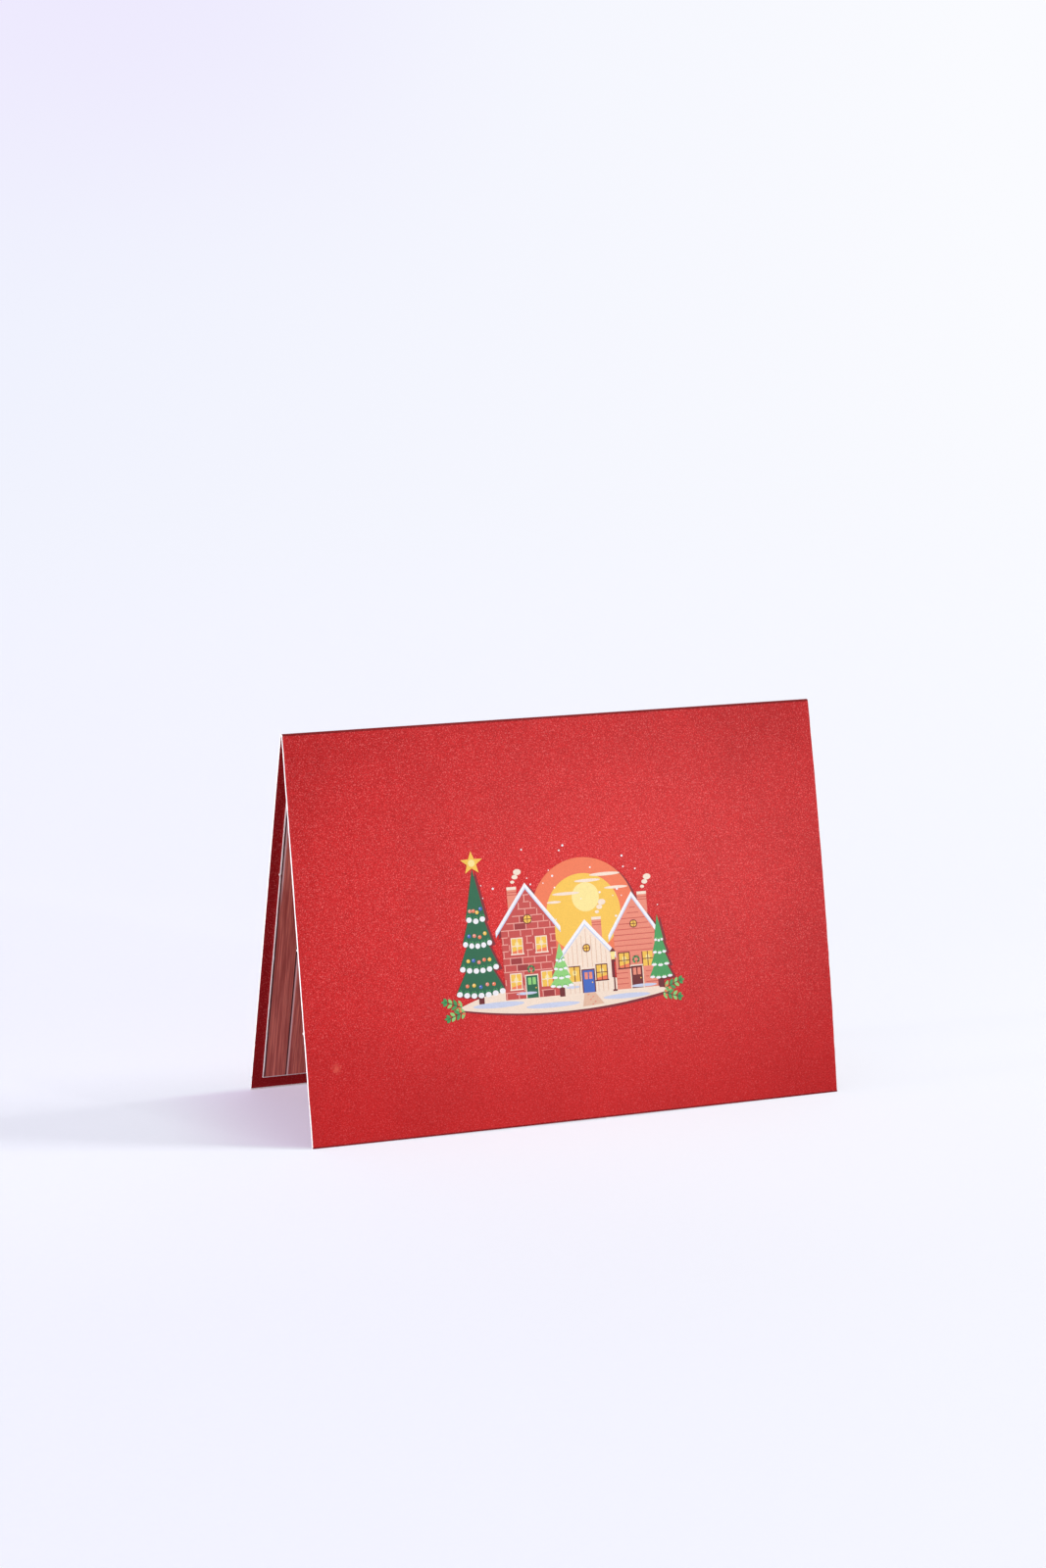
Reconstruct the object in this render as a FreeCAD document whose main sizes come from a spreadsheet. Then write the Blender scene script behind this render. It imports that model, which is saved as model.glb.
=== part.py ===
"""A folded greeting card that stands as a tent, with its printed front and its glued-in liner.

The origin is the centre of the card's footprint on the floor. +X runs along the width, to the
right of someone who faces the front, +Y runs from the front to the back, and +Z is up.
Lengths are in millimetres and angles in degrees.
"""

import FreeCAD, Part
import math
import os
import Sketcher

SIZES = {
    # The folded card.
    "card_width": 177.8,
    "panel_height": 127.0,
    "cover_thickness": 0.6,
    "fold_radius": 0.9,
    "half_angle": 14.15,
    # How the front panel has bent: extra lean at mid width, and bulge down its middle and right edge.
    "middle_lean": 0.65,
    "middle_bow": 0.8,
    "right_bow": 1.55,
    # The liner glued inside.
    "liner_margin": 3.5,
    "liner_foot_margin": 4.4,
    "liner_thickness": 0.45,
    "liner_fold_radius": 0.7,
    "glue_gap": 0.05,
    # Nibs left where the sheets were broken out of their stock, measured up from each sheet's foot.
    "nib_reach": 0.3,
    "nib_breadth": 0.7,
    "front_nib_high": 60.8,
    "front_nib_low": 35.3,
    "back_nib": 4.6,
    "liner_nib": 73.7,
    "foot_nib_across": 7.9,
    # The printed picture: its ink, and the middle of its ground line, measured from the fold.
    "ink_gap": 0.01,
    "ink_thickness": 0.06,
    "picture_across": -3.5,
    "picture_down": 88.0,
    # Ground and sun. Places are measured from the middle of the ground line.
    "ground_half_width": 36.0,
    "ground_rise": 7.0,
    "ground_drop": 3.6,
    "sun_across": 8.5,
    "sun_up": 26.5,
    "sun_radius": 17.5,
    "glow_radius": 12.5,
    "star_radius": 3.8,
    # Houses: place, width, height of the walls and of the gable above them.
    "tall_house_across": -10.5,
    "tall_house_width": 18.0,
    "tall_house_walls": 22.0,
    "tall_house_gable": 12.0,
    "low_house_across": 8.5,
    "low_house_width": 16.0,
    "low_house_walls": 12.0,
    "low_house_gable": 9.0,
    "end_house_across": 25.0,
    "end_house_width": 14.0,
    "end_house_walls": 18.0,
    "end_house_gable": 10.5,
    "house_foot": 1.5,
    "eaves": 1.8,
    "snow_depth": 2.0,
    "window_width": 3.4,
    "window_height": 4.6,
    "door_width": 3.8,
    "door_height": 7.0,
    "chimney_width": 3.2,
    "chimney_height": 7.0,
    # Fir trees: place, width and height.
    "left_fir_across": -27.5,
    "left_fir_width": 16.5,
    "left_fir_height": 42.0,
    "middle_fir_across": -0.6,
    "middle_fir_width": 8.0,
    "middle_fir_height": 17.0,
    "right_fir_across": 33.2,
    "right_fir_width": 8.0,
    "right_fir_height": 23.0,
    "fir_foot": 1.0,
    "trunk_width": 1.8,
    "trunk_height": 3.5,
    # How far the printed drop shadows lie to the right of their motifs and below them.
    "shadow_right": 1.0,
    "shadow_down": 0.7,
}

FIR_TIERS = 4
STAR_POINTS = 5
STAR_WAIST = 0.42
TIER_TAPER = 0.2
TIER_SAG = 0.07
PRISM_BACK = 3.0
PRISM_DEPTH = 10.0
SPREADS = {False: 1.15, True: 0.9}

doc = FreeCAD.newDocument("greeting_card")
sheet = doc.addObject("Spreadsheet::Sheet", "sheet")
for row, (alias, size) in enumerate(SIZES.items(), start=1):
    sheet.set(f"A{row}", alias)
    sheet.set(f"B{row}", str(size))
    sheet.setAlias(f"B{row}", alias)
doc.recompute()


class Size:
    """A number, with the spreadsheet expression that gives it."""

    def __init__(self, value, rule):
        self.value = value
        self.rule = rule

    def __add__(self, other):
        return Size(self.value + other.value, f"({self.rule} + {other.rule})")

    def __sub__(self, other):
        return Size(self.value - other.value, f"({self.rule} - {other.rule})")

    def __mul__(self, other):
        return Size(self.value * other.value, f"({self.rule} * {other.rule})")

    def __truediv__(self, other):
        return Size(self.value / other.value, f"({self.rule} / {other.rule})")


def cell(alias):
    return Size(float(sheet.get(alias)), f"sheet.{alias}")


def number(value):
    return Size(float(value), str(float(value)))


def sine(angle):
    return Size(math.sin(math.radians(angle.value)), f"sin({angle.rule})")


def cosine(angle):
    return Size(math.cos(math.radians(angle.value)), f"cos({angle.rule})")


ZERO = number(0)
HALF_WIDTH = cell("card_width") / number(2)
BACK_LEAN = cell("half_angle")
FRONT_LEANS = {
    "left": BACK_LEAN,
    "middle": BACK_LEAN + cell("middle_lean"),
    "right": BACK_LEAN,
}
FRONT_BOWS = {"left": None, "middle": cell("middle_bow"), "right": cell("right_bow")}

# The cover's fold is an arc whose centre lies over the fold line, and each panel runs straight
# down from it. The card stands on the inner edges of its feet.
LEG = cell("panel_height") - cell("fold_radius")
INNER_RADIUS = cell("fold_radius") - cell("cover_thickness")
FOLD_HEIGHT = LEG * cosine(BACK_LEAN) - INNER_RADIUS * sine(BACK_LEAN)
FOLD_SETBACK = LEG * (sine(FRONT_LEANS["middle"]) - sine(BACK_LEAN)) / number(2)


def bow_radius(chord, bow):
    """Radius of the arc that bulges by bow over a chord."""
    return chord * chord / (number(8) * bow) + bow / number(2)


FRONT_RADII = {
    place: None if bow is None else bow_radius(LEG, bow) for place, bow in FRONT_BOWS.items()
}


def origin_plane(body, role):
    for plane in body.Origin.OriginFeatures:
        if plane.Role == role:
            return plane
    raise RuntimeError(f"no plane {role}")


def new_body(label):
    """A body whose fold stands behind the middle of the footprint, as the real card's does."""
    body = doc.addObject("PartDesign::Body", label)
    body.Label = label
    body.setExpression(".Placement.Base.y", FOLD_SETBACK.rule)
    return body


def new_sketch(body, name, across):
    """A sketch across the card at X = across: its own axes are the card's Y and Z."""
    sketch = body.newObject("Sketcher::SketchObject", name)
    sketch.AttachmentSupport = [(origin_plane(body, "YZ_Plane"), "")]
    sketch.MapMode = "FlatFace"
    sketch.setExpression(".AttachmentOffset.Base.z", across.rule)
    return sketch


def panel_point(side, centre, radius, along, lean):
    """Point of a panel: side is -1 in front and 1 behind, along runs down from the fold.

    Every panel starts where the fold's arc ends, square to the lean of the back panel, and then
    runs down at its own lean.
    """
    across = radius * cosine(BACK_LEAN) + along * sine(lean)
    if side < 0:
        y = ZERO - across
    else:
        y = ZERO + across
    z = centre + radius * sine(BACK_LEAN) - along * cosine(lean)
    return y, z


def vector(point):
    return FreeCAD.Vector(point[0].value, point[1].value, 0)


def pin_down(sketch, edge, end, point):
    """Binds one end of an edge to its place."""
    across = sketch.addConstraint(Sketcher.Constraint("DistanceX", -1, 1, edge, end, point[0].value))
    sketch.setExpression(f"Constraints[{across}]", point[0].rule)
    up = sketch.addConstraint(Sketcher.Constraint("DistanceY", -1, 1, edge, end, point[1].value))
    sketch.setExpression(f"Constraints[{up}]", point[1].rule)


def add_line(sketch, first, last):
    """Adds a line, and returns it with the end that it starts at."""
    edge = sketch.addGeometry(Part.LineSegment(vector(first), vector(last)))
    pin_down(sketch, edge, 1, first)
    return edge, 1


def add_arc(sketch, first, last, radius, bulge):
    """An arc from first to last. bulge is 1 if it swells to the left of that way, or else -1."""
    start = vector(first)
    end = vector(last)
    chord = end - start
    left = FreeCAD.Vector(-chord.y, chord.x, 0).normalize()
    rise = radius.value - math.sqrt(radius.value ** 2 - (chord.Length / 2) ** 2)
    crown = (start + end) * 0.5 + left * (bulge * rise)
    edge = sketch.addGeometry(Part.Arc(start, crown, end))
    # Sketch arcs run counter-clockwise, so an arc that swells to the left starts at its last point.
    start_end = 2 if bulge > 0 else 1
    pin_down(sketch, edge, start_end, first)
    size = sketch.addConstraint(Sketcher.Constraint("Radius", edge, radius.value))
    sketch.setExpression(f"Constraints[{size}]", radius.rule)
    return edge, start_end


def add_front(sketch, first, last, bend, bulge):
    """A run of the front panel: straight where the panel is flat, and else an arc."""
    if bend is None:
        return add_line(sketch, first, last)
    return add_arc(sketch, first, last, bend, bulge)


def close_up(sketch, edges):
    """Joins each edge's end to the next one's start."""
    for index, (edge, start_end) in enumerate(edges):
        following, following_start = edges[(index + 1) % len(edges)]
        sketch.addConstraint(
            Sketcher.Constraint("Coincident", edge, 3 - start_end, following, following_start)
        )


def add_quad(sketch, corners):
    close_up(sketch, [add_line(sketch, corners[i], corners[(i + 1) % 4]) for i in range(4)])


def pad_fold_and_back(body, centre, radius, thickness, leg, half_width):
    """The flat back panel and the fold above it, which run straight across the card."""
    name = body.Label
    sketch = new_sketch(body, f"{name}_back_section", ZERO - half_width)
    inner = radius - thickness
    front_outer_top = panel_point(-1, centre, radius, ZERO, BACK_LEAN)
    back_outer_top = panel_point(1, centre, radius, ZERO, BACK_LEAN)
    back_outer_foot = panel_point(1, centre, radius, leg, BACK_LEAN)
    back_inner_foot = panel_point(1, centre, inner, leg, BACK_LEAN)
    back_inner_top = panel_point(1, centre, inner, ZERO, BACK_LEAN)
    front_inner_top = panel_point(-1, centre, inner, ZERO, BACK_LEAN)
    edges = [
        add_arc(sketch, front_outer_top, back_outer_top, radius, 1),
        add_line(sketch, back_outer_top, back_outer_foot),
        add_line(sketch, back_outer_foot, back_inner_foot),
        add_line(sketch, back_inner_foot, back_inner_top),
        add_arc(sketch, back_inner_top, front_inner_top, inner, -1),
        add_line(sketch, front_inner_top, front_outer_top),
    ]
    close_up(sketch, edges)
    pad = body.newObject("PartDesign::Pad", f"{name}_fold_and_back")
    pad.Profile = sketch
    pad.setExpression("Length", (half_width * number(2)).rule)


def loft_front(body, centre, radius, thickness, leg, half_width):
    """The front panel, bent through its sections at the left edge, mid width and right edge."""
    name = body.Label
    inner = radius - thickness
    sections = []
    for place, across in {"left": ZERO - half_width, "middle": ZERO, "right": half_width}.items():
        sketch = new_sketch(body, f"{name}_front_{place}", across)
        lean = FRONT_LEANS[place]
        bend = FRONT_RADII[place]
        outer_foot = panel_point(-1, centre, radius, leg, lean)
        outer_top = panel_point(-1, centre, radius, ZERO, lean)
        inner_top = panel_point(-1, centre, inner, ZERO, lean)
        inner_foot = panel_point(-1, centre, inner, leg, lean)
        edges = [
            add_front(sketch, outer_foot, outer_top, bend, 1),
            add_line(sketch, outer_top, inner_top),
            add_front(sketch, inner_top, inner_foot, bend, -1),
            add_line(sketch, inner_foot, outer_foot),
        ]
        close_up(sketch, edges)
        sections.append(sketch)
    panel = body.newObject("PartDesign::AdditiveLoft", f"{name}_front_panel")
    panel.Profile = sections[0]
    panel.Sections = sections[1:]
    panel.Ruled = False
    panel.Closed = False


def nib_corners(side, centre, radius, thickness, along):
    """A nib's section: the full thickness of the sheet, nib_breadth long, centred on along."""
    half = cell("nib_breadth") / number(2)
    inner = radius - thickness
    return [
        panel_point(side, centre, radius, along - half, BACK_LEAN),
        panel_point(side, centre, radius, along + half, BACK_LEAN),
        panel_point(side, centre, inner, along + half, BACK_LEAN),
        panel_point(side, centre, inner, along - half, BACK_LEAN),
    ]


def pad_edge_nibs(body, half_width, nibs):
    """Nibs that stand out of a sheet's left edge."""
    name = body.Label
    sketch = new_sketch(body, f"{name}_nib_sections", ZERO - half_width)
    for corners in nibs:
        add_quad(sketch, corners)
    pad = body.newObject("PartDesign::Pad", f"{name}_edge_nibs")
    pad.Profile = sketch
    pad.Reversed = True
    pad.setExpression("Length", cell("nib_reach").rule)


def pad_foot_nib(body, centre, radius, thickness):
    """A nib under the front foot, where the panel's middle has lifted off the floor."""
    sketch = new_sketch(body, "foot_nib_section", cell("foot_nib_across"))
    lean = FRONT_LEANS["middle"]
    inner = radius - thickness
    root = LEG - cell("nib_reach")
    tip = LEG + cell("nib_reach")
    corners = [
        panel_point(-1, centre, radius, root, lean),
        panel_point(-1, centre, radius, tip, lean),
        panel_point(-1, centre, inner, tip, lean),
        panel_point(-1, centre, inner, root, lean),
    ]
    add_quad(sketch, corners)
    pad = body.newObject("PartDesign::Pad", "foot_nib")
    pad.Profile = sketch
    pad.Midplane = True
    pad.setExpression("Length", cell("nib_breadth").rule)


def make_cover():
    """The outer sheet, folded once across the top."""
    body = new_body("cover")
    radius = cell("fold_radius")
    thickness = cell("cover_thickness")
    pad_fold_and_back(body, FOLD_HEIGHT, radius, thickness, LEG, HALF_WIDTH)
    loft_front(body, FOLD_HEIGHT, radius, thickness, LEG, HALF_WIDTH)
    nibs = [
        nib_corners(-1, FOLD_HEIGHT, radius, thickness, LEG - cell("front_nib_high")),
        nib_corners(-1, FOLD_HEIGHT, radius, thickness, LEG - cell("front_nib_low")),
        nib_corners(1, FOLD_HEIGHT, radius, thickness, LEG - cell("back_nib")),
    ]
    pad_edge_nibs(body, HALF_WIDTH, nibs)
    pad_foot_nib(body, FOLD_HEIGHT, radius, thickness)
    return body


def make_liner():
    """The inner sheet, glued to both panels with a margin of the cover showing round it."""
    body = new_body("liner")
    radius = cell("liner_fold_radius")
    thickness = cell("liner_thickness")
    half_width = HALF_WIDTH - cell("liner_margin")
    # The liner's fold lies as far below the cover's as its panels need to lie a glue gap inside.
    fold_drop = (radius - INNER_RADIUS + cell("glue_gap")) / sine(BACK_LEAN)
    centre = FOLD_HEIGHT - fold_drop
    leg = LEG - cell("liner_foot_margin") - fold_drop * cosine(BACK_LEAN)
    pad_fold_and_back(body, centre, radius, thickness, leg, half_width)
    loft_front(body, centre, radius, thickness, leg, half_width)
    nib = nib_corners(1, centre, radius, thickness, leg - cell("liner_nib"))
    pad_edge_nibs(body, half_width, [nib])
    return body


def make_ink_skin():
    """A film just outside the front panel, bent as the panel is, that the ink is cut from."""
    body = new_body("ink_skin")
    film = cell("ink_thickness")
    radius = cell("fold_radius") + cell("ink_gap") + film
    loft_front(body, FOLD_HEIGHT, radius, film, LEG, HALF_WIDTH)
    return body


def length(alias):
    return cell(alias).value


def polygon(*points):
    """A flat face in the picture's own plane, X across and Y up."""
    corners = [FreeCAD.Vector(x, y, 0) for x, y in points]
    return Part.Face(Part.makePolygon(corners + corners[:1]))


def rectangle(middle, foot, width, height):
    left = middle - width / 2
    right = middle + width / 2
    return polygon((left, foot), (right, foot), (right, foot + height), (left, foot + height))


def disc(middle, up, radius):
    circle = Part.makeCircle(radius, FreeCAD.Vector(middle, up, 0))
    return Part.Face(Part.Wire(circle))


def snow_bank():
    """The ground: a long lens with a high and a low arc."""
    half = length("ground_half_width")
    left = FreeCAD.Vector(-half, 0, 0)
    right = FreeCAD.Vector(half, 0, 0)
    crest = FreeCAD.Vector(0, length("ground_rise"), 0)
    keel = FreeCAD.Vector(0, -length("ground_drop"), 0)
    edges = [Part.Arc(left, crest, right).toShape(), Part.Arc(right, keel, left).toShape()]
    return Part.Face(Part.Wire(edges))


def star(middle, up, radius):
    points = []
    for step in range(2 * STAR_POINTS):
        reach = radius if step % 2 == 0 else radius * STAR_WAIST
        turn = math.pi * step / STAR_POINTS
        points.append((middle + reach * math.sin(turn), up + reach * math.cos(turn)))
    return polygon(*points)


def fir_tiers(middle, width, height):
    """Tiers of a fir tree, widest at the foot, each with a lower edge that sags."""
    foot = length("fir_foot") + length("trunk_height")
    rise = (height - length("trunk_height")) / (FIR_TIERS + 1)
    tiers = []
    for tier in range(FIR_TIERS):
        half = width / 2 * (1 - TIER_TAPER * tier)
        base = foot + rise * tier
        left = FreeCAD.Vector(middle - half, base, 0)
        right = FreeCAD.Vector(middle + half, base, 0)
        tip = FreeCAD.Vector(middle, base + 2 * rise, 0)
        sag = FreeCAD.Vector(middle, base - width * TIER_SAG, 0)
        edges = [
            Part.Arc(left, sag, right).toShape(),
            Part.LineSegment(right, tip).toShape(),
            Part.LineSegment(tip, left).toShape(),
        ]
        tiers.append(Part.Face(Part.Wire(edges)))
    return tiers


def gable_front(middle, width, walls, gable):
    """A house front: its wall and the gable above, in one outline."""
    left = middle - width / 2
    right = middle + width / 2
    foot = length("house_foot")
    top = foot + walls
    return polygon((left, foot), (right, foot), (right, top), (middle, top + gable), (left, top))


def roof_snow(middle, width, walls, gable):
    """The band of snow along both slopes, standing out past the walls by the eaves."""
    half = width / 2 + length("eaves")
    top = length("house_foot") + walls
    ridge = top + gable
    edge = top - gable * length("eaves") / (width / 2)
    depth = length("snow_depth")
    return polygon(
        (middle - half, edge),
        (middle, ridge),
        (middle + half, edge),
        (middle + half, edge + depth),
        (middle, ridge + depth),
        (middle - half, edge + depth),
    )


class Picture:
    """Flat fields of ink by colour, where each motif is painted over the ones before it."""

    def __init__(self):
        self.fields = {}

    def paint(self, colour, face):
        for other, fields in self.fields.items():
            kept = []
            for field in fields:
                if other == colour or not field.BoundBox.intersect(face.BoundBox):
                    kept.append(field)
                else:
                    kept.extend(field.cut(face).Faces)
            self.fields[other] = kept
        mine = self.fields.setdefault(colour, [])
        touching = [field for field in mine if field.BoundBox.intersect(face.BoundBox)]
        apart = [field for field in mine if not field.BoundBox.intersect(face.BoundBox)]
        if touching:
            joined = face.fuse(touching).removeSplitter()
            self.fields[colour] = apart + joined.Faces
        else:
            mine.append(face)


def paint_house(picture, name, wall_colour, chimney_side):
    """One house with its chimney, wall, gable and roof snow."""
    middle = length(f"{name}_house_across")
    width = length(f"{name}_house_width")
    walls = length(f"{name}_house_walls")
    gable = length(f"{name}_house_gable")
    chimney_middle = middle + chimney_side * width / 4
    chimney_foot = length("house_foot") + walls + gable / 2
    chimney_height = length("chimney_height")
    chimney = rectangle(chimney_middle, chimney_foot, length("chimney_width"), chimney_height)
    picture.paint("salmon", chimney)
    picture.paint(wall_colour, gable_front(middle, width, walls, gable))
    picture.paint("white", roof_snow(middle, width, walls, gable))


def paint_openings(picture, name, door_colour, storeys):
    """A door at the foot between two windows, and a pair of windows on each storey above."""
    middle = length(f"{name}_house_across")
    spread = length(f"{name}_house_width") / 4
    foot = length("house_foot")
    storey = length(f"{name}_house_walls") / storeys
    sill = foot + (storey - length("window_height")) / 2
    for level in range(storeys):
        for side in (-1, 1):
            across = middle + side * spread * SPREADS[level > 0]
            window = rectangle(
                across, sill + storey * level, length("window_width"), length("window_height")
            )
            picture.paint("yellow", window)
    door = rectangle(middle, foot, length("door_width"), length("door_height"))
    picture.paint(door_colour, door)


def paint_fir(picture, name, colour):
    """One fir tree with its trunk."""
    middle = length(f"{name}_fir_across")
    width = length(f"{name}_fir_width")
    height = length(f"{name}_fir_height")
    trunk_width = length("trunk_width")
    picture.paint("maroon", rectangle(middle, length("fir_foot"), trunk_width, length("trunk_height")))
    for tier in fir_tiers(middle, width, height):
        picture.paint(colour, tier)


def paint_shadows(picture, outlines):
    """Drop shadows: each outline again, moved to the right and down."""
    shift = FreeCAD.Vector(length("shadow_right"), -length("shadow_down"), 0)
    for outline in outlines:
        picture.paint("wine", outline.translated(shift))


def draw_picture():
    """A snowy street: three houses and three firs before a low sun."""
    picture = Picture()
    outlines = [snow_bank(), disc(length("sun_across"), length("sun_up"), length("sun_radius"))]
    for name in ("tall", "low", "end"):
        shape = [length(f"{name}_house_{part}") for part in ("across", "width", "walls", "gable")]
        outlines.append(gable_front(*shape))
        outlines.append(roof_snow(*shape))
    for name in ("left", "right"):
        shape = [length(f"{name}_fir_{part}") for part in ("across", "width", "height")]
        outlines.extend(fir_tiers(*shape))
    paint_shadows(picture, outlines)
    picture.paint("orange", disc(length("sun_across"), length("sun_up"), length("sun_radius")))
    picture.paint("yellow", disc(length("sun_across"), length("sun_up"), length("glow_radius")))
    picture.paint("cream", snow_bank())
    paint_fir(picture, "left", "dark_green")
    paint_house(picture, "end", "salmon", 1)
    paint_openings(picture, "end", "maroon", 1)
    paint_fir(picture, "right", "green")
    paint_house(picture, "tall", "brick", -1)
    paint_openings(picture, "tall", "dark_green", 2)
    paint_house(picture, "low", "cream", 1)
    paint_openings(picture, "low", "blue", 1)
    paint_fir(picture, "middle", "light_green")
    star_up = length("fir_foot") + length("left_fir_height") + length("star_radius") / 2
    picture.paint("yellow", star(length("left_fir_across"), star_up, length("star_radius")))
    return picture


def make_ink(picture, skin):
    """One node for each colour: its fields, standing as prisms, cut to the film of ink."""
    lean = BACK_LEAN.value
    down = cell("picture_down")
    foot = panel_point(-1, FOLD_HEIGHT, cell("fold_radius"), down, BACK_LEAN)
    setback = FOLD_SETBACK.value
    base = FreeCAD.Vector(length("picture_across"), foot[0].value + setback, foot[1].value)
    stand_up = FreeCAD.Rotation(FreeCAD.Vector(1, 0, 0), 90 - lean)
    placement = FreeCAD.Placement(base, stand_up)
    inks = []
    for colour, fields in picture.fields.items():
        prisms = []
        for field in fields:
            behind = field.translated(FreeCAD.Vector(0, 0, -PRISM_BACK))
            prisms.append(behind.extrude(FreeCAD.Vector(0, 0, PRISM_DEPTH)))
        block = Part.makeCompound(prisms)
        block.Placement = placement
        ink = doc.addObject("Part::Feature", f"print_{colour}")
        ink.Label = f"print_{colour}"
        ink.Shape = Part.makeCompound(skin.Shape.common(block).Solids)
        inks.append(ink)
    return inks


def check_object(item):
    for state in ("Invalid", "Error"):
        if state in item.State:
            raise RuntimeError(f"{item.Name} is {state}")


def write_step(item):
    shape = item.Shape
    if shape.isNull() or not shape.isValid():
        raise RuntimeError(f"{item.Label} has no valid shape")
    shape.exportStep(os.path.join("parts", f"{item.Label}.step"))
    print(item.Label, "solids", len(shape.Solids), "volume", round(shape.Volume, 3))


pieces = [make_cover(), make_liner()]
ink_skin = make_ink_skin()
doc.recompute()
pieces.extend(make_ink(draw_picture(), ink_skin))
for item in doc.Objects:
    check_object(item)
os.makedirs("parts", exist_ok=True)
for piece in pieces:
    write_step(piece)
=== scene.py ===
"""Looks of the folded greeting card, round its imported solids.

Shapes are worked out in millimetres, in the solids' own frame, and each mesh is made in metres.
"""

import math
import random
from dataclasses import dataclass

import bmesh
import bpy
from mathutils import Matrix, Vector
from mathutils.geometry import tessellate_polygon

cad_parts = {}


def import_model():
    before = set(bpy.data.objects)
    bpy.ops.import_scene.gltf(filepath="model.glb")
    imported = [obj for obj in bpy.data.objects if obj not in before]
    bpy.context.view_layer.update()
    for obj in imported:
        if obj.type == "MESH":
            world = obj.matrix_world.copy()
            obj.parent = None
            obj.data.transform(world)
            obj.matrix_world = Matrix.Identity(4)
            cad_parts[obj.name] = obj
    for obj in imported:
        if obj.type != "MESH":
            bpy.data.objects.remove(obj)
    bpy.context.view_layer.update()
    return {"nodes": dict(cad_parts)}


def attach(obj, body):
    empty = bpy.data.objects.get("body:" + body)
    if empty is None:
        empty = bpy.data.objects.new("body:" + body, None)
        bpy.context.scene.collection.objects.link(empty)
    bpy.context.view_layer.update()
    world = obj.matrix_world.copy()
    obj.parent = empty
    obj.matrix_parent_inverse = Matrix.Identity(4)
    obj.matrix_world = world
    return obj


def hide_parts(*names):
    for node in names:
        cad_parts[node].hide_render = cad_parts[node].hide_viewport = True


MM = 0.001

# The folded card, as in the part's source.
CARD_WIDTH = 177.8
PANEL_HEIGHT = 127.0
COVER_THICKNESS = 0.6
FOLD_RADIUS = 0.9
BACK_LEAN = math.radians(14.15)
FRONT_LEANS = (BACK_LEAN, BACK_LEAN + math.radians(0.65), BACK_LEAN)
FRONT_BOWS = (0.0, 0.8, 1.55)
LINER_MARGIN = 3.5
LINER_FOOT_MARGIN = 4.4
LINER_THICKNESS = 0.45
LINER_FOLD_RADIUS = 0.7
GLUE_GAP = 0.05
NIB_REACH = 0.3
NIB_BREADTH = 0.7
FRONT_NIBS = (60.8, 35.3)
BACK_NIB = 4.6
LINER_NIB = 73.7
FOOT_NIB_ACROSS = 7.9
NIB_TAPER = 0.18

# The sheets' meshes: steps and widths in millimetres, and the materials' places in their lists.
ACROSS_STEP = 3.2
FRONT_STEP = 2.6
BACK_STEP = 4.0
FOLD_STEPS = 10
# The bare rims' widths at the side cuts and the foot, and the share by which one wavers.
COVER_RIMS = (0.11, 0.5)
LINER_RIMS = (0.22, 0.24)
RIM_WAVER = (-0.45, 0.55)
SHARP_ANGLE = math.radians(40)
OUTSIDE, INSIDE, CORE, PAINTED_FOOT_SHADE = range(4)

LEG = PANEL_HEIGHT - FOLD_RADIUS
INNER_RADIUS = FOLD_RADIUS - COVER_THICKNESS
FOLD_HEIGHT = LEG * math.cos(BACK_LEAN) - INNER_RADIUS * math.sin(BACK_LEAN)
FOLD_SETBACK = LEG * (math.sin(FRONT_LEANS[1]) - math.sin(BACK_LEAN)) / 2
OUTWARD = Vector((0, -math.cos(BACK_LEAN), math.sin(BACK_LEAN)))
UP_PANEL = Vector((0, math.sin(BACK_LEAN), math.cos(BACK_LEAN)))

# The printed picture: its place, and its motifs measured from the middle of its ground line.
PICTURE_ACROSS = -3.5
PICTURE_DOWN = 88.0
HOUSE_FOOT = 1.5
EAVES = 1.8
SNOW_DEPTH = 2.0
WINDOW = (3.4, 4.6)
DOOR = (3.8, 7.0)
HOUSES = {
    "tall": {"middle": -10.5, "width": 18.0, "walls": 22.0, "gable": 12.0, "storeys": 2, "chimney": -1},
    "low": {"middle": 8.5, "width": 16.0, "walls": 12.0, "gable": 9.0, "storeys": 1, "chimney": 1},
    "end": {"middle": 25.0, "width": 14.0, "walls": 18.0, "gable": 10.5, "storeys": 1, "chimney": 1},
}
FIRS = {
    "left": {"middle": -27.5, "width": 16.5, "height": 42.0},
    "middle": {"middle": -0.6, "width": 8.0, "height": 17.0},
    "right": {"middle": 33.2, "width": 8.0, "height": 23.0},
}
FIR_FOOT = 1.0
TRUNK_HEIGHT = 3.5
FIR_TIERS = 4
TIER_TAPER = 0.2
TIER_DIP = 0.07
# How far apart the windows are, below and on an upper storey.
SPREADS = {False: 1.15, True: 0.9}

# The camera, as fitted to the photograph: millimetres and degrees.
CAMERA_PLACE = (-428.1, -1050.4, 365.5)
CAMERA_YAW = 21.729
CAMERA_PITCH = -13.117
CAMERA_ROLL = 0.915
LENS = 84.878
SENSOR_WIDTH = 36.0
CLIP_END = 100.0


# ---- the card's shape

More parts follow.
